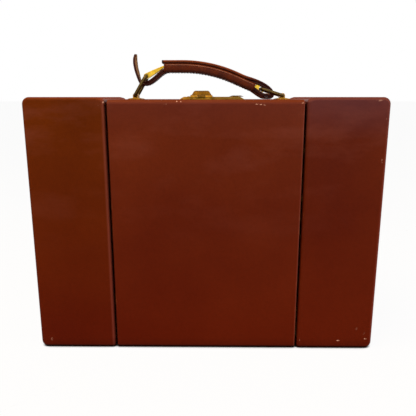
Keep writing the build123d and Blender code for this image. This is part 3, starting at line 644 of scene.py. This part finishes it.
# partly painted light: the band's top is a lighter, warmer copy, as if lit from above, besides its rubbed
# tone
handleTop = bridleLeather("rubbedAndLitBridleLeather", "64280A", "884410", "B8783A", 0.38, (40, 60, 0.92, "38150A"))
bandSide = bridleLeather("darkBandEdge", "501E05", "682B08", "844A20", 0.36, (40, 58, 0.92, "34120A"))
strapGrain = bridleLeather("darkStrapLeather", "2E110A", "44190D", "74483A", 0.36)
strapFlesh = bridleLeather("tanStrapFlesh", "7E5632", "A67C50", "C09A6A", 0.55)
strapEdge = bridleLeather("burnishedStrapEdge", "2A0E07", "42190C", "64382A", 0.32)
creaseHighlight = bridleLeather("creaseHighlightLeather", "7E4E3C", "A67864", "CCA898", 0.3)
# painted highlight: pale leather for the crease ridges on the grip's shoulders
skiver = bridleLeather("brownSkiver", "6A3418", "814424", "A0663E", 0.6)
thread = linenThread("waxedLinenThread", "5A3220")
silk = wateredSilk("wateredSilk")
deal = dealBoard("dealBoard")
lockBrass = agedMetal("agedBrass", "B4822A", "7C5A1C", 0.16, 0.36, 0.35)
plateBrass = agedMetal("fadedBrass", "B4822A", "7C5A1C", 0.16, 0.36, 0.35, (-15, 15, 0.8, "6E521E"))
haspBrass = agedMetal("darkBrass", "60440F", "44300C", 0.16, 0.4, 0.35)
hingeBrass = agedMetal("wornBrass", "8C661C", "5C4414", 0.16, 0.4, 0.35)
linkBrass = agedMetal("brightBrass", "DCB63C", "A08020", 0.18, 0.24, 0.5)
ringBrass = agedMetal("tarnishedBrass", "64522C", "332814", 0.2, 0.4, 0.2)
steel = agedMetal("drawnSteel", "A8A49C", "807A70", 0.2, 0.32, 0.2)


# the case keeps its CAD forms and takes its leather, boards and lining
print("stage: case")
sides = ("left_", "right_")
frontMarks = [  # x, z, width and height in mm, strength
    (49.7, 259.2, 5, 2.4, 0.6),
    (53.5, 258.9, 5, 2.6, 0.66),
    (56.9, 258.5, 5, 2.4, 0.56),
    (-27.9, 262.0, 3, 3.0, 0.5),
    (-24.0, 261.5, 3, 3.0, 0.5),
    (-39.3, 259.0, 14, 2.4, 0.34),
    (94.0, 260.4, 4, 4.0, 0.6),
    (-60.0, 256.0, 14, 1.6, 0.26),
]
wingMarks = [
    (142.9, 9.0, 7, 2.4, 0.66),
    (172.1, 11.2, 6, 4.0, 0.6),
    (161.9, 23.0, 5, 8.0, 0.36),
    (171.0, 18.0, 6, 12.0, 0.27),
    (101.5, 9.4, 3, 4.0, 0.4),
    (-167.8, 9.1, 5, 8.0, 0.4),
    (168.2, 263.0, 12, 4.0, 0.5),
    (175.5, 244.3, 3, 8.0, 0.45),
    (174.5, 205.3, 3, 14.0, 0.4),
    (-99.6, 261.0, 3, 4.0, 0.6),
    (-104.0, 258.0, 4, 3.0, 0.4),
]
# the left end is browner, and the right end has a painted reflection haze and a stronger painted highlight
# along its top
leathers = {
    "body_leather": {"dark": "56200F", "light": "602611", "rubAndHighlight": 0.18, "reflectionHaze": 0.0, "marks": []},
    "cover_leather": {"dark": "58200D", "light": "622710", "rubAndHighlight": 0.18, "reflectionHaze": 0.1, "marks": frontMarks},
    "left_wing_leather": {"dark": "552103", "light": "5F2704", "rubAndHighlight": 0.05, "reflectionHaze": 0.0, "marks": wingMarks},
    "right_wing_leather": {"dark": "501B0B", "light": "5A210C", "rubAndHighlight": 0.5, "reflectionHaze": 0.36, "marks": wingMarks},
}
brassFittings = ("ring_staple", "ball_catch", "body_hinge_leaves", "wing_hinge_leaves", "wing_strike")
finishes = [
    (deal, ["body_boards", "cover_boards", "left_wing_boards", "right_wing_boards", "grip_core"]),
    (silk, ["body_lining", "cover_lining", "left_wing_lining", "right_wing_lining", "inner_shelf"]),
    (steel, ["lock_case", "lock_bolt", "cover_hinge_pins", "hasp_pin"]),
    (steel, [side + "wing_hinge_pins" for side in sides]),
    (lockBrass, ["cover_hinges", "hasp_staple"]),
    (lockBrass, [side + part for side in sides for part in brassFittings]),
    (plateBrass, ["lock_plate"]),
    (haspBrass, ["hasp", "thumb_piece"]),
    (hingeBrass, ["hasp_hinge_plate"]),
    (ringBrass, ["left_ring", "right_ring"]),
    (linkBrass, ["left_link", "right_link"]),
]
for name, look in leathers.items():
    finishes.append((glazedCalf("glazedCalf." + name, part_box(name), look), [name]))
for finish, names in finishes:
    for name in names:
        nodes[name].data.materials.clear()
        nodes[name].data.materials.append(finish)


# grip: a padded leather roll with a band along its top that goes on round the right ring and back under
print("stage: handle")
grip = {  # in mm
    "start": (-45.34, 296.27),  # x and z at the left end of its middle line
    "level": 19.8,  # length of the level part
    "bend": 140.76,  # radius of the arc after it
    "angle": 23.0,  # degrees of that arc
    "slope": 24.0,  # length of the straight end
    "step": 0.6,
    "width": 20.0,
    "height": 9.4,
    "corner": 2.4,
    "cornerSteps": 5,
    "bulge": 0.4,  # of the sides
    "tuck": 0.9,  # how far the foot is drawn in
    "pull": 0.26,  # how far each stitch draws the foot in
    "rise": 0.6,  # how far it lifts the foot, as a share of that
    "ends": (0.07, 3.0),  # share by which the ends are drawn in, and over what length
    "footFaces": range(12, 23),  # of the section, from one lower corner to the other
    "stitch": (3.4, 2.7, 0.42),  # pitch, length and radius
    "stitchLine": 8.9,  # from the middle
    "stitchSunk": 0.25,
    "stitchLean": (0.75, -0.65),
    "crease": (10.15, 3.0, 0.3),  # across, out and radius
}


def gripLine():
    # the grip's middle line: level, then an arc, then a slope
    levelParts, arcParts = 20, 40
    x, z = grip["start"]
    points = [Vector((x + grip["level"] * n / levelParts, 0, z)) for n in range(levelParts)]
    x += grip["level"]
    turn = math.radians(grip["angle"])
    for n in range(arcParts + 1):
        angle = turn * n / arcParts
        drop = grip["bend"] * (1 - math.cos(angle))
        points.append(Vector((x + grip["bend"] * math.sin(angle), 0, z - drop)))
    points.append(points[-1] + Vector((math.cos(turn), 0, -math.sin(turn))) * grip["slope"])
    return evenPath([p * mm for p in points], grip["step"] * mm)


gripPath = gripLine()


def gripSection(share):
    # sides that bulge a little, soft at the foot, pinched where each stitch pulls, drawn in at both ends
    total = (len(gripPath) - 1) * grip["step"]
    walked = share * total
    pull = grip["pull"] * (1 + math.cos(2 * math.pi * walked / grip["stitch"][0]))
    drawn, run = grip["ends"]
    pinch = 1 - drawn * max(0.0, 1 - min(walked, total - walked) / run) ** 2
    half = grip["width"] / 2 * pinch
    rise = grip["height"] / 2
    ring = []
    for a, o in roundedSection(2 * half, 2 * rise, grip["corner"], grip["cornerSteps"]):
        low = max(0.0, -o / rise)
        bulge = grip["bulge"] * (1 - (o / rise) ** 2) - (grip["tuck"] + pull) * low**3
        if abs(a) > half - grip["corner"]:
            a += math.copysign(bulge, a)
        ring.append((a, o + grip["rise"] * pull * low**2))
    return ring


points, faces, segments = sweep(gripPath, gripSection, depthwise)
# painted shade: the faces round the grip's foot take the darker leather
paint = [1 if j in grip["footFaces"] else 0 for j in segments]
gripBody = meshPiece("gripRoll", points, faces, "grip", [handleSide, handleShadedFoot], "handle_leather", paint)
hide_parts("grip_leather")
out = grip["stitchSunk"] - grip["height"] / 2
sewBothSides("gripFootStitches", gripPath, grip["stitchLine"], out, grip["stitch"], grip["stitchLean"])

# the line creased along both shoulders of the grip stands up a little and carries a painted pale highlight
creaseAcross, creaseOut, creaseRadius = grip["crease"]
creaseEnd = 4  # points of the grip's line left free at both ends
creaseRing = [(creaseRadius * c, creaseRadius * s) for c, s in circle(8)]
ridges = []
for side in (-1, 1):
    line = []
    for i in range(creaseEnd, len(gripPath) - creaseEnd + 1, 2):
        _, _, out = frameAt(gripPath, i, depthwise)
        line.append(gripPath[i] + depthwise * (side * creaseAcross * mm) + out * (creaseOut * mm))
    points, faces, _ = sweep(line, creaseRing, depthwise)
    ridges.append((points, faces))
meshPiece("gripCreases", *mergeShapes(ridges), "grip", [creaseHighlight], "handle_leather", sharp=80)

# the band on the grip and, in one with it, the outer layer of the strap round the right ring's bar
band = {  # in mm
    "thickness": 3.4,
    "width": 18.0,
    "round": 1.2,
    "loopThickness": 2.1,
    "loopWidth": 12.4,
    "loopRound": 0.7,
    "overhang": 2.1,  # past the grip's left end
    "onGrip": 43.0,  # x up to which it follows the grip
    "every": 12,  # of the grip's points that it goes through
    "loop": [  # x and z of its middle after that
        (49.4, 284.4), (57.9, 280.9), (65.1, 276.9), (69.6, 273.0), (71.4, 269.8), (71.0, 267.3),
        (69.2, 266.1), (66.0, 266.0), (61.3, 266.3), (56.9, 268.6), (52.4, 271.6), (47.6, 274.8),
        (43.6, 276.8),
    ],
    "loopFrom": 100.0,  # along it
    "narrows": (-0.02, 0.06),  # shares of its length before and after that
    "step": 0.6,
    "cutRings": 3,  # at its left end, where the cut leather shows dark
    "stitch": (3.2, 2.4, 0.36),
    "stitchLine": 6.6,
    "stitchSunk": 0.2,
}
# the inner layer of the right loop lies against the outer one and is doubled in its lower run
inner = {  # in mm and in shares of its length
    "width": 11.8,
    "round": 0.6,
    "gap": 0.03,
    "before": 0.05,  # share of the band's length that it starts before the loop
    # extra thickness: the most, where it starts and the share over which it grows by 1 mm, below 0 for back
    "extra": ((0.9, 0.4, -0.14), (1.9, 0.45, 0.1)),
    "fleshAndHighlightFrom": 0.6,
}
alongBand = []
for i in range(0, len(gripPath), band["every"]):
    _, _, out = frameAt(gripPath, i, depthwise)
    alongBand.append(gripPath[i] + out * ((grip["height"] + band["thickness"]) / 2 * mm))
alongBand.insert(0, alongBand[0] - sideways * band["overhang"] * mm)
alongBand = [p for p in alongBand if p.x < band["onGrip"] * mm]
bandPath = smoothPath(alongBand + upright(band["loop"]), band["step"] * mm)
loopStart = band["loopFrom"] * mm / pathLength(bandPath)


def bandSection(share):
    # the full band on the grip, thinning to the outer layer of the loop
    start, end = band["narrows"]
    narrow = min(1.0, max(0.0, (share - loopStart - start) / (end - start)))
    width = band["width"] + (band["loopWidth"] - band["width"]) * narrow
    thickness = band["thickness"] + (band["loopThickness"] - band["thickness"]) * narrow
    shift = narrow * band["loopThickness"] / 2
    corner = band["round"] + (band["loopRound"] - band["round"]) * narrow
    return [(a, o + shift) for a, o in roundedSection(width, thickness, corner)]


def innerLayer(share):
    extra = sum(min(most, max(0.0, (share - start) / grown)) for most, start, grown in inner["extra"])
    thickness = band["loopThickness"] + extra
    shift = thickness / 2 + inner["gap"]
    ring = roundedSection(inner["width"], thickness - 2 * inner["gap"], inner["round"])
    return [(a, o - shift) for a, o in ring]


def strapPaint(segments):
    # the grain side, the burnished edges and the flesh side of a strap, by the faces of its section
    return [2 if 14 <= j <= 17 else 0 if 3 <= j <= 5 else 1 for j in segments]


points, faces, segments = sweep(bandPath, bandSection, depthwise)
# the outer side takes the lighter top leather, which is partly painted light
paint = [0 if 0 <= j <= 8 else 1 if j in (9, 19) else 2 for j in segments]  # outer side, edges, inner side
cutFaces = band["cutRings"] * len(bandSection(0.0))
paint[:cutFaces] = [2] * cutFaces
bandPiece = meshPiece(
    "gripBand", points, faces, "grip", [handleTop, bandSide, strapEdge], "handle_leather", paint
)
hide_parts("grip_band", "right_strap")
row = bandPath[: int(loopStart * len(bandPath))]
out = band["thickness"] / 2 - band["stitchSunk"]
sewBothSides("bandStitches", row, band["stitchLine"], out, band["stitch"])

strapLeathers = [strapGrain, strapEdge, strapFlesh]
innerPath = bandPath[int((loopStart - inner["before"]) * len(bandPath)) :]
points, faces, segments = sweep(innerPath, innerLayer, depthwise)
fleshAndHighlightFrom = len(segments) * inner["fleshAndHighlightFrom"]
# partly painted highlight: in the lower run the inner side takes the tan flesh leather, and its pale corners
# stand in for a highlight
paint = [2 if 10 <= j <= 18 and n > fleshAndHighlightFrom else 1 for n, j in enumerate(segments)]
meshPiece("innerStrapRight", points, faces, "grip", strapLeathers, "handle_leather", paint)

# straps at the left end: one round the ring's bar and up with its end undone, and a layer inside it. A route
# is x and z in mm; widths in mm and twists in degrees stand after their share of the route
strapWork = {  # in mm
    "corner": 0.6,
    "step": 0.5,
    "stitch": (3.0, 2.2, 0.32),
    "stitchInset": 1.9,  # from the edges
    "widthAt": 0.4,  # share of the route where the edges are taken for that
    "stitchProud": 0.02,
    "sewn": 0.66,  # share of the route that is stitched
}
hole = {"radius": 1.25, "inset": 5.2, "reach": 3.0, "sides": 20}
straps = [
    {
        "name": "undoneStrap",
        "replaces": "left_strap",
        "thickness": 2.4,
        "stitchSide": 1,
        "route": [
            (-38.0, 293.4), (-44.3, 292.0), (-49.35, 288.9), (-54.45, 284.7), (-59.4, 281.25), (-62.9, 279.6),
            (-65.7, 279.15), (-68.6, 279.2), (-71.3, 280.9), (-73.0, 284.2), (-74.8, 290.4), (-76.5, 297.5),
            (-77.1, 305.2), (-76.3, 311.0),
        ],
        "widths": [(0.0, 12.0), (0.3, 12.0), (0.6, 11.0), (0.86, 10.6), (0.93, 8.6), (0.97, 6.0), (1.0, 2.6)],
        "twists": [(0.0, 0.0), (0.58, 0.0), (0.74, -7.0), (1.0, -10.0)],
    },
    {
        "name": "innerStrapLeft",
        "replaces": None,
        "thickness": 2.3,
        "stitchSide": -1,
        "route": [
            (-40.0, 295.0), (-46.3, 294.2), (-51.0, 290.9), (-56.0, 286.8), (-60.8, 283.4), (-63.6, 281.95),
            (-66.0, 281.6), (-68.0, 281.8),
        ],
        "widths": [(0.0, 11.2), (0.85, 11.2), (1.0, 9.0)],
        "twists": [(0.0, 0.0), (1.0, 0.0)],
    },
]


def strapSection(strap, share):
    return roundedSection(between(strap["widths"], share), strap["thickness"], strapWork["corner"])


def strapTwist(strap, share):
    return math.radians(between(strap["twists"], share))


def punchHole(piece, strap, path):
    # a round hole through the strap near the end of its route
    count = hole["sides"]
    i = len(path) - 1 - round(hole["inset"] / strapWork["step"])
    run, side, out = frameAt(path, i, depthwise, strapTwist(strap, i / (len(path) - 1)))
    bore = []
    for way in (-1, 1):
        for c, s in circle(count):
            rim = (c * run + s * side) * (hole["radius"] * mm)
            bore.append(path[i] + rim + out * way * hole["reach"] * mm)
    walls = [(n, (n + 1) % count, count + (n + 1) % count, count + n) for n in range(count)]
    cutAway(piece, bore, walls + [tuple(reversed(range(count))), tuple(range(count, 2 * count))])


for strap in straps:
    path = smoothPath(upright(strap["route"]), strapWork["step"] * mm)
    points, faces, segments = sweep(path, partial(strapSection, strap), depthwise, partial(strapTwist, strap))
    paint = strapPaint(segments)
    piece = meshPiece(strap["name"], points, faces, "grip", strapLeathers, "handle_leather", paint)
    row = path[: int(len(path) * strapWork["sewn"])]
    line = between(strap["widths"], strapWork["widthAt"]) / 2 - strapWork["stitchInset"]
    face = strap["stitchSide"]
    out = face * (strap["thickness"] / 2 + strapWork["stitchProud"])
    sewBothSides(strap["name"] + "Stitches", row, line, out, strapWork["stitch"], (0.0, face))
    if strap["replaces"]:
        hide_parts(strap["replaces"])
        punchHole(piece, strap, path)


# screws of the lock, staples and rear hinges
print("stage: screws")
screwHead = {  # in shares of its radius
    "dome": [(1, -0.1), (1, 0.06), (0.85, 0.16), (0.5, 0.24), (0, 0.27)],  # radius and height, out to middle
    "slotHalf": (1.2, 0.16),  # along and across
    "slotDepth": 0.28,
    "sides": 28,
}
# in mm; an inset below 0 is from the right or the back edge, or from the outer edge of a hinge's leaf. The
# slots stand at odd angles, so each screw is turned by a number that comes from its place
screws = {
    "radius": 1.75,
    "hasp": {"radius": 1.7, "insets": (4.5, -4.5), "front": 4.6, "top": 264.7},
    "lock": ((10.0, 5.5, 0.3), (10.0, -5.0, 1.2), (-10.0, -4.4, 2.1), (-34.0, -4.4, 0.8)),  # and turn
    "staple": {"insets": (3.0, -3.0), "top": 265.1},
    "hinge": {"heights": (52.0, 212.0), "back": 62.9, "rows": ((-15, 0.0), (0, 2.5), (15, 0.0))},
    "bodyLeaf": {"inset": 10.5, "turn": 0.7},
    "wingLeaf": {"inset": -6.4, "turn": 0.4},
}


def fromEdge(low, high, inset):
    # a place off the low edge, or for an inset below 0 off the high one
    return (low if inset > 0 else high) + inset * mm


def lathe(profile, sides):
    # a turned form round Z from (radius, height) pairs, the first on the outside and the last on the axis
    points = []
    for radius, height in profile[:-1]:
        points += [Vector((radius * c, radius * s, height)) for c, s in circle(sides)]
    points.append(Vector((0, 0, profile[-1][1])))
    faces = ringFaces(len(profile) - 1, sides)
    last = (len(profile) - 2) * sides
    faces += [(last + j, last + (j + 1) % sides, len(points) - 1) for j in range(sides)]
    faces.append(tuple(reversed(range(sides))))
    return points, faces


def boxShape(low, high):
    points = [Vector((x, y, z)) for x in (low.x, high.x) for y in (low.y, high.y) for z in (low.z, high.z)]
    return points, [(0, 1, 3, 2), (4, 6, 7, 5), (0, 4, 5, 1), (2, 3, 7, 6), (0, 2, 6, 4), (1, 5, 7, 3)]


def screwHeads(name, places, radius, body):
    # slotted screw heads; each place is a point, the way it faces and the angle of its slot
    dome = [(r * radius, h * radius) for r, h in screwHead["dome"]]
    length, width = screwHead["slotHalf"]
    ground = screwHead["dome"][-1][1] - screwHead["slotDepth"]
    slotLow = Vector((-length, -width, ground)) * radius
    slotHigh = Vector((length, width, ground + 1)) * radius
    head = cutAway(meshObject("head", *lathe(dome, screwHead["sides"])), *boxShape(slotLow, slotHigh))
    headPoints = [v.co.copy() for v in head.data.vertices]
    headFaces = [tuple(p.vertices) for p in head.data.polygons]
    bpy.data.objects.remove(head)
    shapes = []
    for place, facing, turn in places:
        turned = facing.to_track_quat("Z", "Y").to_matrix().to_4x4()
        matrix = Matrix.Translation(place) @ turned @ Matrix.Rotation(turn, 4, "Z")
        shapes.append(([matrix @ p for p in headPoints], headFaces))
    return meshPiece(name, *mergeShapes(shapes), body, [lockBrass], "lock_brass", sharp=30)


def hingeScrews(side, part, leaf):
    # three screws in each leaf of a rear hinge, the middle one nearer to the leaf's edge
    near, far = sorted(abs(corner.x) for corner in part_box(side + part))
    outward = 1 if side == "right_" else -1
    found = []
    for z in screws["hinge"]["heights"]:
        for step, shift in screws["hinge"]["rows"]:
            x = outward * fromEdge(near, far, leaf["inset"] - math.copysign(shift, leaf["inset"]))
            place = (x, screws["hinge"]["back"] * mm, (z + step) * mm)
            found.append((place, depthwise, leaf["turn"] * step + z))
    return found


low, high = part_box("hasp_hinge_plate")
places = []
for inset in screws["hasp"]["insets"]:
    x = fromEdge(low.x, high.x, inset)
    place = (x, low.y + screws["hasp"]["front"] * mm, screws["hasp"]["top"] * mm)
    places.append((place, upward, 0.5 + 9 * x))
screwHeads("haspPlateScrews", places, screws["hasp"]["radius"] * mm, "drop_front")
low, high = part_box("lock_plate")
places = []
for x, y, turn in screws["lock"]:
    places.append(((fromEdge(low.x, high.x, x), fromEdge(low.y, high.y, y), high.z), upward, turn))
for side in sides:
    low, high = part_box(side + "ring_staple")
    for inset in screws["staple"]["insets"]:
        y = fromEdge(low.y, high.y, inset)
        places.append((((low.x + high.x) / 2, y, screws["staple"]["top"] * mm), upward, 1 + 60 * y))
for side in sides:
    places += hingeScrews(side, "body_hinge_leaves", screws["bodyLeaf"])
screwHeads("bodyScrews", places, screws["radius"] * mm, "case_body")
for side in sides:
    places = hingeScrews(side, "wing_hinge_leaves", screws["wingLeaf"])
    screwHeads(side + "wingScrews", places, screws["radius"] * mm, side + "wing")


# inside: a gathered leather pocket behind the drop front and leather loops for bottles in the ends
print("stage: inside")
pocket = {  # in mm
    "skin": 1.3,
    "foot": 2.6,  # how far it stands off at the bottom
    "gathers": 15,
    "gather": 0.7,  # height of a gather at the mouth
    "sag": 3.5,  # of the mouth in the middle
    "across": 120,  # faces of the mesh
    "up": 40,
    "binding": (3.4, 2.6, 1.1),  # width, thickness and corner
    "bindingShift": (0, -0.4, 0.2),
    "bindingStep": 1.2,
}
skin, foot, gather, sag = (pocket[key] * mm for key in ("skin", "foot", "gather", "sag"))
low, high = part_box("cover_pocket")
points, faces = [], []
# t runs from -1 to 1 across and rise from 0 to 1 up; the powers set how tight its ends and its mouth are
for v in range(pocket["up"] + 1):
    rise = v / pocket["up"]
    for u in range(pocket["across"] + 1):
        t = 2 * u / pocket["across"] - 1
        bow = (1 - abs(t) ** 7) ** (1 / 3)
        depth = foot + (high.y - low.y - foot - gather) * math.sin(rise * math.pi / 2) ** 1.2
        wave = gather * math.cos(math.pi * pocket["gathers"] * t) * rise**4
        x = (low.x + high.x) / 2 + t * ((high.x - low.x) / 2 - skin / 2)
        z = low.z + skin + (high.z - low.z - skin) * rise - sag * (1 - t * t) * rise**3
        points.append(Vector((x, low.y + (depth + wave) * bow, z)))
wide = pocket["across"] + 1
for v in range(pocket["up"]):
    for u in range(pocket["across"]):
        a = v * wide + u
        faces.append((a, a + wide, a + wide + 1, a + 1))
pocketPiece = meshPiece("gatheredPocket", points, faces, "drop_front", [skiver], "fitting_leather")
thicken = pocketPiece.modifiers.new("skin", "SOLIDIFY")
thicken.thickness = skin
thicken.offset = -1
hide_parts("cover_pocket")
mouth = [p + Vector(pocket["bindingShift"]) * mm for p in points[-wide:]]
mouth = evenPath(mouth, pocket["bindingStep"] * mm)
points, faces, _ = sweep(mouth, roundedSection(*pocket["binding"]), upward)
meshPiece("pocketBinding", points, faces, "drop_front", [strapGrain], "fitting_leather")

loops = {  # in mm
    "skin": 1.8,
    "corner": 0.6,
    "round": 20.6,  # radius of a loop
    "crown": 18.0,  # from the wall to where that round starts
    "pitch": 56.0,
    "numbers": (-0.5, 0.5),  # pitches from the middle
    "end": 0.2,  # left free between the loops and at the ends
    "width": 24.0,
    "waist": 20.5,  # width at the crown
    "arcSteps": 24,
    "step": 0.8,
    "smoothings": 5,
    "seams": ((-1, 3.2), (0, -3.0), (0, 3.0), (1, -3.2)),  # pitches from the middle, and how far off that
    "seamLength": 20,
    "stitch": (3.0, 2.1, 0.34),
    "stitchProud": 0.02,
    "stitchSkip": 0.5,
}
low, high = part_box("right_bottle_loops")
wall = high.x / mm - loops["skin"] / 2
crown = high.x / mm - loops["crown"]
middleY = (low.y + high.y) / 2 / mm
centreZ = (low.z + high.z) / 2
route = []
for number in loops["numbers"]:
    y = middleY + number * loops["pitch"]
    reach = loops["pitch"] / 2 - loops["end"]
    route += [(wall, y - reach), (wall, y - loops["round"]), (crown, y - loops["round"])]
    for n in range(1, loops["arcSteps"]):
        angle = math.pi * n / loops["arcSteps"]
        route.append((crown - loops["round"] * math.sin(angle), y - loops["round"] * math.cos(angle)))
    route += [(crown, y + loops["round"]), (wall, y + loops["round"]), (wall, y + reach)]
path = evenPath([Vector((x * mm, y * mm, centreZ)) for x, y in route], loops["step"] * mm)
for _ in range(loops["smoothings"]):
    path = [path[0]] + [(a + 2 * b + c) / 4 for a, b, c in zip(path, path[1:], path[2:])] + [path[-1]]


def loopSection(share):
    # full width where it is sewn down, narrower at the crown of each loop
    waist = math.sin(math.pi * (2 * share % 1)) ** 2
    width = loops["width"] + (loops["waist"] - loops["width"]) * waist
    return roundedSection(width, loops["skin"], loops["corner"])


loopPoints, loopFaces, segments = sweep(path, loopSection, upward * -1)
stitches = []
for number, off in loops["seams"]:
    y = middleY + number * loops["pitch"] + off
    half = loops["seamLength"] // 2
    column = [Vector((wall * mm, y * mm, centreZ + n * mm)) for n in range(-half, half + 1)]
    out = loops["skin"] / 2 + loops["stitchProud"]
    stitches += stitchRow(column, depthwise, 0.0, out, loops["stitch"], skip=loops["stitchSkip"])
for side, body in ((1, "right_wing"), (-1, "left_wing")):
    points, faces = mirrored(side, loopPoints, loopFaces)
    skins = [skiver, strapEdge, skiver]
    paint = strapPaint(segments)
    piece = meshPiece(body + "Loops", points, faces, body, skins, "fitting_leather", paint)
    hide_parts(("right" if side > 0 else "left") + "_bottle_loops")
    sewnPiece(body + "LoopStitches", [mirrored(side, *shape) for shape in stitches], body, "fitting_leather")
